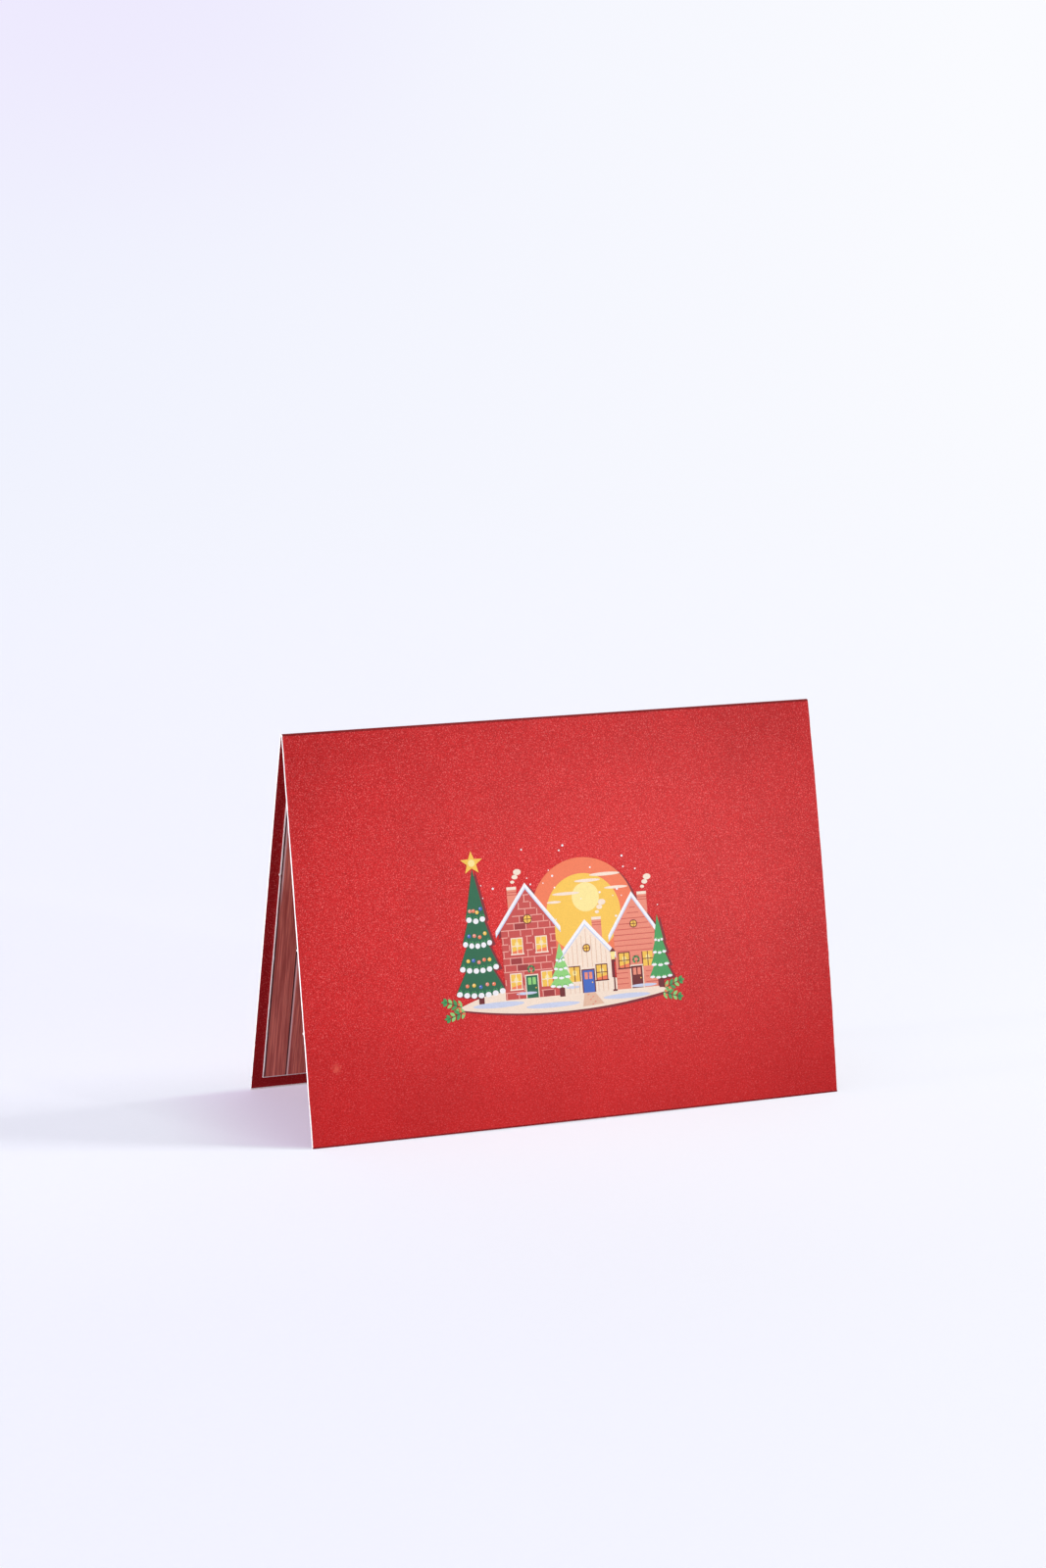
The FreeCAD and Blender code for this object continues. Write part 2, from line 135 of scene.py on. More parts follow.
@dataclass
class Sheet:
    """One folded sheet: a flat back panel, a fold, and a front panel that is slightly bent."""

    centre: float
    radius: float
    thickness: float
    leg: float
    half_width: float

    def front(self, x, fraction, depth=0.0):
        """A point on the front panel. fraction runs from the fold to the foot, depth goes inward."""
        side = x / self.half_width
        shares = (side * (side - 1) / 2, 1 - side * side, side * (side + 1) / 2)
        out = self.radius - depth
        y = -out * math.cos(BACK_LEAN)
        z = self.centre + out * math.sin(BACK_LEAN)
        for share, lean, bow in zip(shares, FRONT_LEANS, FRONT_BOWS):
            along, bulge = fraction * self.leg, 0.0
            if bow:
                radius = LEG * LEG / (8 * bow) + bow / 2
                half = math.asin(self.leg / 2 / radius)
                turn = half * (2 * fraction - 1)
                along = self.leg / 2 + radius * math.sin(turn)
                bulge = radius * (math.cos(turn) - math.cos(half))
            y -= share * (along * math.sin(lean) + bulge * math.cos(lean))
            z -= share * (along * math.cos(lean) - bulge * math.sin(lean))
        return Vector((x, y + FOLD_SETBACK, z))

    def fold(self, x, turn, depth):
        """A point on the fold. turn runs from the front panel's end to the back one's, 0 to 1."""
        angle = math.pi - BACK_LEAN - turn * (math.pi - 2 * BACK_LEAN)
        out = self.radius - depth
        return Vector((x, out * math.cos(angle) + FOLD_SETBACK, self.centre + out * math.sin(angle)))

    def back(self, x, along, depth):
        """A point on the back panel, so far down from the fold."""
        out = self.radius - depth
        y = out * math.cos(BACK_LEAN) + along * math.sin(BACK_LEAN)
        z = self.centre + out * math.sin(BACK_LEAN) - along * math.cos(BACK_LEAN)
        return Vector((x, y + FOLD_SETBACK, z))


COVER = Sheet(FOLD_HEIGHT, FOLD_RADIUS, COVER_THICKNESS, LEG, CARD_WIDTH / 2)
LINER_DROP = (LINER_FOLD_RADIUS - INNER_RADIUS + GLUE_GAP) / math.sin(BACK_LEAN)
LINER = Sheet(
    FOLD_HEIGHT - LINER_DROP,
    LINER_FOLD_RADIUS,
    LINER_THICKNESS,
    LEG - LINER_FOOT_MARGIN - LINER_DROP * math.cos(BACK_LEAN),
    CARD_WIDTH / 2 - LINER_MARGIN,
)


def stops(length, step, rims, extras):
    """Places from 0 to length: narrow rims at each end, even steps, and the extra places."""
    count = max(2, round(length / step))
    marks = {0.0, rims[0], length}
    for rim in rims:
        marks.add(length - rim)
    for extra in extras:
        marks.add(extra - NIB_BREADTH / 2)
        marks.add(extra + NIB_BREADTH / 2)
    for index in range(1, count):
        mark = length * index / count
        if all(abs(mark - other) > step * 0.3 for other in marks):
            marks.add(mark)
    return sorted(marks)


def near(low, high, place):
    """Whether the step from low to high is the one that a nib at a place breaks out of."""
    return abs((low + high) / 2 - place) < NIB_BREADTH / 4


def sheet_mesh(name, sheet, rims, rim_inside=False, front_nibs=(), back_nibs=(), foot_nib=None):
    """A closed mesh of one folded sheet, whose rims show outside or inside. The nibs of the left cut
    are given by their way up from the foot, the foot's own by its x."""
    random.seed(name)
    half, rim = sheet.half_width, rims[0]
    extras = () if foot_nib is None else (foot_nib + half,)
    front_alongs = [sheet.leg - above for above in front_nibs]
    back_alongs = [sheet.leg - above for above in back_nibs]
    across = [mark - half for mark in stops(2 * half, ACROSS_STEP, (rim,), extras)]
    front = [mark / sheet.leg for mark in stops(sheet.leg, FRONT_STEP, rims, front_alongs)]
    stations = [("front", fraction) for fraction in reversed(front)]
    stations += [("fold", index / FOLD_STEPS) for index in range(1, FOLD_STEPS)]
    stations += [("back", along) for along in stops(sheet.leg, BACK_STEP, rims, back_alongs)]
    makers = {"front": sheet.front, "fold": sheet.fold, "back": sheet.back}
    mesh = bmesh.new()

    def place(x, station, depth):
        kind, value = station
        return mesh.verts.new(makers[kind](x, value, depth) * MM)

    # The rim's inner line wavers a little, because the ink has chipped unevenly along the cuts.
    rows = []
    for column, x in enumerate(across):
        skins = ([], [])
        for station in stations:
            shift = 0.0
            if column in (1, len(across) - 2):
                inward = 1 if column == 1 else -1
                shift = inward * rim * random.uniform(*RIM_WAVER)
            skins[0].append(place(x + (0.0 if rim_inside else shift), station, 0.0))
            skins[1].append(place(x + (shift if rim_inside else 0.0), station, sheet.thickness))
        rows.append(skins)

    def face(corners, material, smooth):
        made = mesh.faces.new(corners)
        made.material_index = material
        made.smooth = smooth

    last_row, last = len(rows) - 1, len(stations) - 1
    for column in range(last_row):
        (outer, inner), (next_outer, next_inner) = rows[column], rows[column + 1]
        bare_column = column in (0, last_row - 1)
        for index in range(last):
            by_foot = index in (0, 1, last - 2, last - 1)
            corners = (outer[index], outer[index + 1], next_outer[index + 1], next_outer[index])
            skin = CORE if bare_column and not rim_inside else OUTSIDE
            # The outside rows at both feet take the darker red of painted shade.
            face(corners, PAINTED_FOOT_SHADE if by_foot and not rim_inside else skin, True)
            corners = (inner[index], next_inner[index], next_inner[index + 1], inner[index + 1])
            face(corners, CORE if bare_column and rim_inside or by_foot else INSIDE, True)
        for index, in_front in ((0, True), (last, False)):
            corners = [outer[index], next_outer[index], next_inner[index], inner[index]]
            if not in_front:
                corners.reverse()
            elif foot_nib is not None and near(across[column], across[column + 1], foot_nib):
                down = sheet.front(foot_nib, 1.0) - sheet.front(foot_nib, 0.99)
                nib(mesh, corners, down.normalized() * NIB_REACH * MM, face)
                continue
            face(corners, CORE, False)
    wanted = {("front", along) for along in front_alongs} | {("back", along) for along in back_alongs}
    for (outer, inner), flip in ((rows[0], False), (rows[-1], True)):
        for index in range(last):
            corners = [outer[index], inner[index], inner[index + 1], outer[index + 1]]
            if flip:
                corners.reverse()
            elif is_nib(stations[index], stations[index + 1], wanted, sheet.leg):
                nib(mesh, corners, Vector((-NIB_REACH * MM, 0, 0)), face)
                continue
            face(corners, CORE, False)
    sharpen(mesh)
    return finish_mesh(name, mesh)


def is_nib(station, following, wanted, leg):
    """Whether a nib breaks out of the side cut between two stations that follow each other."""
    if station[0] != following[0] or station[0] == "fold":
        return False
    scale = leg if station[0] == "front" else 1.0
    low, high = sorted((station[1] * scale, following[1] * scale))
    return any(kind == station[0] and near(low, high, along) for kind, along in wanted)


def nib(mesh, corners, reach, face):
    """A stub of card left where the sheet was broken out of its stock, tapering to a torn end."""
    middle = sum((corner.co for corner in corners), Vector()) / 4
    ends = [mesh.verts.new(corner.co + (middle - corner.co) * NIB_TAPER + reach) for corner in corners]
    for index in range(4):
        following = (index + 1) % 4
        face((corners[index], corners[following], ends[following], ends[index]), CORE, False)
    face(ends, CORE, False)


def sharpen(mesh):
    """Cut edges stay crisp: an edge of a flat face, or one that turns far, is sharp."""
    for edge in mesh.edges:
        smooth = all(face.smooth for face in edge.link_faces)
        edge.smooth = smooth and edge.calc_face_angle(0.0) < SHARP_ANGLE


def placed(name, data):
    """A new object in the scene."""
    made = bpy.data.objects.new(name, data)
    bpy.context.scene.collection.objects.link(made)
    return made


def finish_mesh(name, mesh):
    data = bpy.data.meshes.new(name)
    mesh.normal_update()
    mesh.to_mesh(data)
    mesh.free()
    return placed(name, data)


# ---- materials

class Nodes:
    """A short way to write a node tree."""

    def __init__(self, name, library=bpy.data.materials, output="OutputMaterial"):
        self.owner = library.new(name)
        self.owner.use_nodes = True
        self.tree = self.owner.node_tree
        self.tree.nodes.clear()
        self.output = self.add(output)

    def add(self, kind, settings=None, **inputs):
        """A new node with its settings, and its inputs by name, with _ for a space."""
        node = self.tree.nodes.new("ShaderNode" + kind)
        for key, value in (settings or {}).items():
            setattr(node, key, value)
        for key, value in inputs.items():
            self.put(node.inputs[key.replace("_", " ")], value)
        return node

    def put(self, socket, value):
        if isinstance(value, bpy.types.NodeSocket):
            self.tree.links.new(value, socket)
        else:
            socket.default_value = value

    def feed(self, node, *entries):
        """The same node, with its first inputs given in order."""
        for socket, entry in zip(node.inputs, entries):
            self.put(socket, entry)
        return node

    def math(self, operation, first, second=0.0):
        return self.feed(self.add("Math", {"operation": operation}), first, second).outputs[0]

    def times(self, first, second):
        return self.math("MULTIPLY", first, second)

    def place(self):
        """The point on the piece, in metres in the card's own frame."""
        if not hasattr(self, "_place"):
            self._place = self.add("TexCoord").outputs["Object"]
        return self._place

    def split(self):
        if not hasattr(self, "_split"):
            self._split = self.add("SeparateXYZ", Vector=self.place()).outputs
        return self._split

    def stretched(self, scale):
        return self.add("Mapping", Vector=self.place(), Scale=scale).outputs[0]

    def vector_math(self, operation, first, second):
        node = self.feed(self.add("VectorMath", {"operation": operation}), first, second)
        return node.outputs["Value" if operation == "DISTANCE" else "Vector"]

    def scaled(self, vector, factor):
        node = self.add("VectorMath", {"operation": "SCALE"}, Scale=factor)
        return self.feed(node, vector).outputs[0]

    def noise(self, scale, detail, roughness=0.5, vector=None):
        inputs = {"Scale": scale, "Detail": detail, "Roughness": roughness}
        return self.add("TexNoise", Vector=vector or self.place(), **inputs).outputs[0]

    def ramp(self, value, low, high, to_low=0.0, to_high=1.0, smooth=True):
        """value from low to high becomes to_low to to_high."""
        kind = "SMOOTHSTEP" if smooth else "LINEAR"
        node = self.add("MapRange", {"interpolation_type": kind})
        return self.feed(node, value, low, high, to_low, to_high).outputs[0]

    def mix(self, share, first, second, blend="MIX"):
        node = self.add("Mix", {"data_type": "RGBA", "blend_type": blend})
        self.put(node.inputs[0], share)
        self.put(node.inputs[6], first)
        self.put(node.inputs[7], second)
        return node.outputs[2]

    def bump(self, height, strength, distance):
        return self.add("Bump", Height=height, Strength=strength, Distance=distance).outputs[0]

    def seen(self):
        """1 for a ray of the camera, or one that it sees in a reflection or through glass."""
        rays = self.add("LightPath").outputs
        bounced = self.math("MAXIMUM", rays["Is Glossy Ray"], rays["Is Transmission Ray"])
        return self.math("MAXIMUM", rays["Is Camera Ray"], bounced)

    def mix_shaders(self, share, first, second):
        return self.feed(self.add("MixShader"), share, first.outputs[0], second.outputs[0])

    def use(self, shader):
        self.put(self.output.inputs[0], shader.outputs[0])
        return self.owner

    def finish(self, **inputs):
        return self.use(self.add("BsdfPrincipled", **inputs))


def colour(red, green, blue):
    """A colour given as it looks on a screen, from 0 to 255, as the linear colour that nodes use."""
    def linear(value):
        value /= 255
        return value / 12.92 if value <= 0.04045 else ((value + 0.055) / 1.055) ** 2.4
    return (linear(red), linear(green), linear(blue), 1.0)


GRAIN_SCALE = 3300
CLOUD_SCALE = 260
CLOUD_SHARE = 0.08


def grain(nodes):
    """The fine pearl grain of the coated stock: specks a third of a millimetre across."""
    fine = nodes.times(nodes.noise(GRAIN_SCALE, 2.0, 0.6), 1 - CLOUD_SHARE)
    cloud = nodes.times(nodes.noise(CLOUD_SCALE, 2.0, 0.5), CLOUD_SHARE)
    return nodes.math("ADD", fine, cloud)


# Dark, middle and pale red, roughness and gloss of the coated card.
PEARLS = {
    "pearl_red_outside": (colour(150, 8, 12), colour(178, 22, 23), colour(204, 40, 40), 0.44, 0.13),
    # The inside: the same red made deeper, painted shade inside the folded card.
    "pearl_red_inside_painted_shade": (colour(140, 2, 8), colour(153, 4, 10), colour(166, 8, 14), 0.6, 0.15),
    # The outside of both feet: a darker red, painted shade where the card meets the floor.
    "foot_painted_shade": (colour(100, 6, 10), colour(118, 10, 14), colour(132, 14, 18), 0.6, 0.1),
}
# Pale specks painted into the red as the pearl coat's glints: a painted highlight.
PAINTED_GLINT = colour(245, 128, 124)
PAINTED_GLINT_SCALE = 2900
SLOW_SCALE = 28
# Heights in metres: where the grain grows quiet towards the foot, and where shade is painted along the
# crease.
QUIET_FOOT = (0.0, 0.06)
CREASE_PAINTED_SHADE = ((FOLD_HEIGHT + 0.15) * MM, (FOLD_HEIGHT + 0.5) * MM)
SCUFF = COVER.front(-79.5, 102.6 / LEG)
SCUFF_TINT = colour(232, 112, 92)
SCUFF_EDGE = (0.0018, 0.0038)


def pearl_card(name, dark, mid, pale, roughness, gloss):
    """Red card with a pearl coat: grain, painted glints, painted shade along the crease and one scuff.
    """
    nodes = Nodes(name)
    height = nodes.split()[2]
    value = grain(nodes)
    base = nodes.mix(nodes.ramp(value, 0.36, 0.64, smooth=False), dark, pale)
    base = nodes.mix(nodes.ramp(height, *QUIET_FOOT, 0.5, 0.2), base, mid)
    # Painted glints of the pearl coat, fainter towards the foot.
    glint = nodes.ramp(nodes.noise(PAINTED_GLINT_SCALE, 1.0), 0.53, 0.7)
    strength = nodes.ramp(height, *QUIET_FOOT, 0.15, 0.32)
    base = nodes.mix(nodes.times(glint, strength), base, PAINTED_GLINT)
    # A slow unevenness of the coat, then painted shade along the crease.
    base = nodes.scaled(base, nodes.ramp(nodes.noise(SLOW_SCALE, 1.0), 0.3, 0.7, 0.95, 1.04))
    base = nodes.scaled(base, nodes.ramp(height, *CREASE_PAINTED_SHADE, 1.0, 0.4))
    # The scuff low on the front panel, with a ragged edge.
    ragged = nodes.times(nodes.noise(900, 3.0, 0.7), 0.0035)
    reach = nodes.math("ADD", nodes.vector_math("DISTANCE", nodes.place(), SCUFF * MM), ragged)
    base = nodes.mix(nodes.ramp(reach, *SCUFF_EDGE, 0.3, 0.0), base, SCUFF_TINT)
    normal = nodes.bump(value, 0.35, 0.00006)
    return nodes.finish(Base_Color=base, Roughness=roughness, Specular_IOR_Level=gloss, Normal=normal)


CORE_DARK = (232, 226, 222)
CORE_PALE = (247, 245, 242)
EDGE_SHADE = 1.03
GLUED_SHADE = 0.97


def card_core(name, shade=EDGE_SHADE):
    """Bare white card along the cuts, a little fibrous and soiled."""
    nodes = Nodes(name)
    fibre = nodes.noise(1800, 3.0, 0.6)
    dark, pale = (colour(*(level * shade for level in tint)) for tint in (CORE_DARK, CORE_PALE))
    base = nodes.mix(nodes.ramp(fibre, 0.35, 0.7), dark, pale)
    return nodes.finish(Base_Color=base, Roughness=0.85, Normal=nodes.bump(fibre, 0.4, 0.00004))


# The planks' width and a start in millimetres, and a count that keeps them positive.
PLANK = 7.1
PLANK_START = -85.15
PLANKS_BEFORE = 40
WOOD_DARK = colour(172, 74, 62)
WOOD_PALE = colour(238, 138, 117)
WOOD_RING = colour(166, 74, 68)
WOOD_JOINT = colour(50, 14, 14)
WOOD_EDGE = colour(255, 222, 218)
STREAK_SCALE = 1500
BROAD_SCALE = 230
RING_SCALE = 330.0
TOOTH_SCALE = 2600
ALONG_PLANK = (1.0, 0.05, 0.03)


def wood_print(name):
    """Printed planks that run down the panels, each of its own tone, with dark joints."""
    nodes = Nodes(name)
    across, _, height = nodes.split()
    shifted = nodes.math("SUBTRACT", across, PLANK_START * MM - PLANKS_BEFORE * PLANK * MM)
    order = nodes.math("DIVIDE", shifted, PLANK * MM)
    plank = nodes.math("FLOOR", order)
    inside = nodes.times(nodes.math("FRACT", order), PLANK)
    tone = nodes.add("TexWhiteNoise", {"noise_dimensions": "1D"}, W=plank).outputs["Value"]
    # Each plank has its own stretch of the pattern.
    aside, along = nodes.times(tone, 3.0), nodes.times(tone, 7.0)
    slide = nodes.add("CombineXYZ", X=0.0, Y=aside, Z=along).outputs[0]
    vector = nodes.vector_math("ADD", nodes.stretched(ALONG_PLANK), slide)
    streak = nodes.noise(STREAK_SCALE, 3.0, 0.65, vector)
    broad = nodes.noise(BROAD_SCALE, 1.0, 0.5, vector)
    bands = {"wave_type": "BANDS", "bands_direction": "X"}
    wave = nodes.add("TexWave", bands, Scale=RING_SCALE, Distortion=5.0, Detail=2.0, Vector=vector)
    rings = nodes.ramp(wave.outputs["Fac"], 0.55, 0.98)
    base = nodes.mix(nodes.ramp(streak, 0.32, 0.68), WOOD_DARK, WOOD_PALE)
    base = nodes.mix(nodes.times(rings, 0.45), base, WOOD_RING)
    base = nodes.mix(nodes.ramp(broad, 0.35, 0.7, 0.0, 0.35), base, WOOD_DARK)
    base = nodes.scaled(base, nodes.ramp(tone, 0.0, 1.0, 0.98, 1.1, smooth=False))
    dark = nodes.times(nodes.ramp(inside, 0.0, 0.1), nodes.ramp(inside, 0.46, 0.56, 1.0, 0.0))
    light = nodes.times(nodes.ramp(inside, 0.5, 0.6), nodes.ramp(inside, 0.95, 1.1, 0.85, 0.0))
    # The joint at the left cut has its pale edge only near the fold.
    off_cut = nodes.ramp(across, -0.084, -0.0838)
    shown = nodes.math("MAXIMUM", off_cut, nodes.ramp(height, 0.062, 0.075))
    base = nodes.mix(nodes.times(light, shown), base, WOOD_EDGE)
    base = nodes.mix(nodes.times(dark, 0.95), base, WOOD_JOINT)
    normal = nodes.bump(nodes.noise(TOOTH_SCALE, 2.0), 0.2, 0.00004)
    return nodes.finish(Base_Color=base, Roughness=0.62, Normal=normal)


# The light on the picture is stronger than even, so its inks are mixed that much deeper.
INK_LEVEL = 0.69
INK_SPREAD = 0.07
TINTS = {
    "wine": (128, 26, 38),
    "maroon": (106, 22, 26),
    "brick": (200, 74, 68),
    "salmon": (237, 141, 115),
    "orange": (244, 123, 80),
    "yellow": (250, 199, 78),
    "cream": (250, 229, 206),
    "white": (248, 247, 247),
    "dark_green": (26, 100, 66),
    "green": (69, 158, 87),
    "light_green": (146, 212, 120),
    "blue": (61, 102, 189),
    "mortar": (240, 164, 150),
    "shade": (206, 214, 235),
    "tan": (232, 190, 160),
    "deep_brick": (158, 48, 48),
    "glow": (254, 232, 150),
}


def ink(name, tint):
    """Flat printed ink, with the card's grain in it."""
    nodes = Nodes(name)
    value = grain(nodes)
    tint = tuple(channel * INK_LEVEL for channel in colour(*tint)[:3])
    low = tuple(channel * (1 - INK_SPREAD) for channel in tint) + (1.0,)
    high = tuple(min(1.0, channel * (1 + INK_SPREAD)) for channel in tint) + (1.0,)
    base = nodes.mix(nodes.ramp(value, 0.36, 0.66, smooth=False), low, high)
    normal = nodes.bump(value, 0.25, 0.00005)
    return nodes.finish(Base_Color=base, Roughness=0.5, Specular_IOR_Level=0.25, Normal=normal)


# ---- the picture's small detail

SURFACE_ROUNDS = 4
LEAF_POINTS = 7


def surface(x, y, offset):
    """A point of the picture's plane, brought onto the front panel along the picture's own axis."""
    foot = COVER.front(-COVER.half_width, PICTURE_DOWN / LEG)
    fraction = (PICTURE_DOWN - y) / LEG
    across = PICTURE_ACROSS + x
    # Each round brings the point nearer to its height on the flat plane.
    for _ in range(SURFACE_ROUNDS):
        point = COVER.front(across, fraction)
        fraction += ((point - foot).dot(UP_PANEL) - y) / LEG
    return (COVER.front(across, fraction) + OUTWARD * offset) * MM


def swung(x, y, along, aside, turn):
    """The point that lies along and aside from (x, y), in axes turned by an angle."""
    cos, sin = math.cos(turn), math.sin(turn)
    return (x + along * cos - aside * sin, y + along * sin + aside * cos)


def box(left, low, right, high):
    return [(left, low), (right, low), (right, high), (left, high)]


def stroke(first, last, width):
    """A straight stroke of ink from one point to another."""
    dx, dy = last[0] - first[0], last[1] - first[1]
    size = math.hypot(dx, dy)
    nx, ny = -dy / size * width / 2, dx / size * width / 2
    ends = ((first, 1), (first, -1), (last, -1), (last, 1))
    return [(end[0] + side * nx, end[1] + side * ny) for end, side in ends]


def ellipse(x, y, wide, high, count, turn=0.0):
    points = []
    for index in range(count):
        angle = 2 * math.pi * index / count
        points.append(swung(x, y, wide * math.cos(angle), high * math.sin(angle), turn))
    return points


def leaf(x, y, length, width, turn):
    """A pointed leaf that starts at (x, y)."""
    points = []
    for side in (1, -1):
        for index in range(LEAF_POINTS):
            share = index / LEAF_POINTS
            along = share if side > 0 else 1 - share
            bulge = side * width / 2 * math.sin(math.pi * along) ** 0.8
            points.append(swung(x, y, length * along, bulge, turn))
    return points


def holds(outline, point):
    """Whether an outline holds a point, by the crossings to the right of it."""
    x, y = point
    inside = False
    for (x1, y1), (x2, y2) in zip(outline, outline[1:] + outline[:1]):
        if (y1 > y) != (y2 > y) and x < (x2 - x1) * (y - y1) / (y2 - y1) + x1:
            inside = not inside
    return inside


def tier_rise(height):
    return (height - TRUNK_HEIGHT) / (FIR_TIERS + 1)


def fir_outlines(middle, width, height):
    """The tiers of a fir from the lowest: left corner, dip of the foot, right corner and tip."""
    rise = tier_rise(height)
    outlines = []
    for tier in range(FIR_TIERS):
        half = width / 2 * (1 - TIER_TAPER * tier)
        base = FIR_FOOT + TRUNK_HEIGHT + rise * tier
        dip, tip = (middle, base - width * TIER_DIP), (middle, base + 2 * rise)
        outlines.append([(middle - half, base), dip, (middle + half, base), tip])
    return outlines


def gable(house):
    left, right = house["middle"] - house["width"] / 2, house["middle"] + house["width"] / 2
    top = HOUSE_FOOT + house["walls"]
    ridge = (house["middle"], top + house["gable"])
    return [(left, HOUSE_FOOT), (right, HOUSE_FOOT), (right, top), ridge, (left, top)]


def roof(house, grow=0.0):
    """The snow on a roof: its under edge from the left, then its upper one back."""
    middle = house["middle"]
    half = house["width"] / 2 + EAVES
    top = HOUSE_FOOT + house["walls"]
    edge = top - house["gable"] * EAVES / (house["width"] / 2)
    ridge = top + house["gable"]
    line = [(middle - half, edge), (middle, ridge), (middle + half, edge)]
    upper = [(x, y + SNOW_DEPTH + grow) for x, y in reversed(line)]
    return [(x, y - grow) for x, y in line] + upper


def windows(house):
    storey = house["walls"] / house["storeys"]
    sill = HOUSE_FOOT + (storey - WINDOW[1]) / 2
    found = []
    for level in range(house["storeys"]):
        for side in (-1, 1):
            x = house["middle"] + side * house["width"] / 4 * SPREADS[level > 0]
            foot = sill + storey * level
            found.append((x - WINDOW[0] / 2, foot, x + WINDOW[0] / 2, foot + WINDOW[1]))
    return found


def door(house):
    middle, half = house["middle"], DOOR[0] / 2
    return (middle - half, HOUSE_FOOT, middle + half, HOUSE_FOOT + DOOR[1])


def grown(rectangle, by):
    left, low, right, high = rectangle
    return box(left - by, low - by, right + by, high + by)


class Detail:
    """Small fields of ink by colour and layer, which lie over the large ones."""

    def __init__(self):
        self.fields = {}

    def add(self, tint, layer, points, masks=()):
        """A field, unless a corner of it or its middle lies in one of the masks in front of it."""
        middle = tuple(sum(point[axis] for point in points) / len(points) for axis in (0, 1))
        if any(holds(mask, point) for mask in masks for point in points + [middle]):
            return
        self.fields.setdefault((tint, layer), []).append(points)


TALL, LOW, END = HOUSES["tall"], HOUSES["low"], HOUSES["end"]
LEFT_FIR, MIDDLE_FIR, RIGHT_FIR = (fir_outlines(**fir) for fir in FIRS.values())
MIDDLE_TRUNK = [box(FIRS["middle"]["middle"] - 1.1, 0.8, FIRS["middle"]["middle"] + 1.1, 5.2)]
LOW_FRONT = [gable(LOW), roof(LOW, 0.2)]
HOUSE_FRONTS = [part for house in HOUSES.values() for part in (gable(house), roof(house, 0.1))]

# Sizes in the drawing in millimetres, shares, counts and tints.
COURSE = 2.15
BRICK = 4.0
MORTAR = 0.15
DEEP_BRICK_SHARE = 0.14
LEVEL_BOARD = 1.7
UPRIGHT_BOARD = 1.6
HAIRLINE = 0.11
FRAME = 0.3
BAR = 0.13
DOOR_FRAME = 0.32
WREATH_LEAVES = 10
ROOF_STEPS = 8
CHIMNEY_HALF = 1.6
CHIMNEY_RISE = 7.0
BAUBLES = ("orange", "yellow", "blue", "salmon")
FLAKES = 60
# Ellipses by their middle and half axes.
DRIFTS = (
    (-22, 0.3, 8.5, 0.9), (-4, -1.3, 9.0, 0.8), (21, -0.6, 8.0, 0.8),
    (-12.5, 3.1, 3.5, 0.45), (27.0, 2.2, 4.5, 0.5), (3.0, 3.6, 2.4, 0.4),
)
CLOUDS = (
    (16.5, 38.2, 5.2, 0.55), (10.5, 36.6, 4.4, 0.5), (20.0, 33.8, 4.0, 0.45),
    (3.0, 33.0, 4.6, 0.5), (-1.2, 30.6, 2.4, 0.4),
)
# Sprigs by their start, direction and bend from one leaf to the next.
SPRIGS = (
    (-34.2, 0.6, 2.75, 0.1), (-33.4, -0.7, 3.5, -0.1), (34.4, 0.7, 0.4, -0.1), (33.6, -0.6, -0.35, 0.1),
)
LEAF_STEP = 1.7


def openings(house, clearance, eaves):
    """What the drawing on a wall keeps clear of: the windows, the door and the snow on the roof."""
    masks = [grown(window, clearance) for window in windows(house)]
    return masks + [grown(door(house), clearance), roof(house, eaves)]


def draw_bricks(detail):
    """Brick courses on the tall house, with a few dark bricks."""
    masks = openings(TALL, 0.45, 0.15) + MIDDLE_FIR + MIDDLE_TRUNK + LOW_FRONT
    wall = gable(TALL)
    left, right = wall[0][0], wall[1][0]
    steps = int((right - left) / (BRICK / 2))
    count = int((right - left) / BRICK) + 1
    for row in range(int((TALL["walls"] + TALL["gable"]) / COURSE)):
        y = HOUSE_FOOT + COURSE * (row + 1)
        low, high = y - COURSE + MORTAR, y - MORTAR
        for step in range(steps):
            x0 = left + step * (right - left) / steps
            x1 = left + (step + 1) * (right - left) / steps
            if holds(wall, ((x0 + x1) / 2, y + 0.2)):
                detail.add("mortar", 1, box(x0, y - MORTAR, x1, y + MORTAR), masks)
        for step in range(count):
            x = left + 0.4 + (step + 0.5 * (row % 2)) * BRICK
            if x < right - 0.4 and holds(wall, (x, y + 0.1)):
                detail.add("mortar", 1, box(x - MORTAR, low, x + MORTAR, high), masks)
            deep = random.random() < DEEP_BRICK_SHARE
            if deep and holds(wall, (x + BRICK - 0.3, y)) and holds(wall, (x, y)):
                detail.add("deep_brick", 0, box(x + MORTAR, low, x + BRICK - MORTAR, high), masks)


def draw_boards(detail):
    """Level boards on the end house and upright ones on the low house."""
    masks = openings(END, 0.4, 0.1) + RIGHT_FIR + LOW_FRONT
    wall = gable(END)
    for row in range(int((END["walls"] + END["gable"]) / LEVEL_BOARD)):
        y = HOUSE_FOOT + LEVEL_BOARD * (row + 1)
        for step in range(int(END["width"])):
            x = wall[0][0] + step
            if holds(wall, (x + 0.1, y)) and holds(wall, (x + 0.9, y)):
                detail.add("brick", 0, box(x, y - HAIRLINE, x + 1, y + HAIRLINE), masks)
    masks = openings(LOW, 0.4, 0.1) + MIDDLE_FIR
    wall = gable(LOW)
    for step in range(1, int(LOW["width"] / UPRIGHT_BOARD)):
        x = wall[0][0] + step * UPRIGHT_BOARD
        for row in range(20):
            y = HOUSE_FOOT + row
            if holds(wall, (x, y + 0.1)) and holds(wall, (x, y + 0.95)):
                detail.add("tan", 0, box(x - HAIRLINE, y, x + HAIRLINE, y + 1), masks)


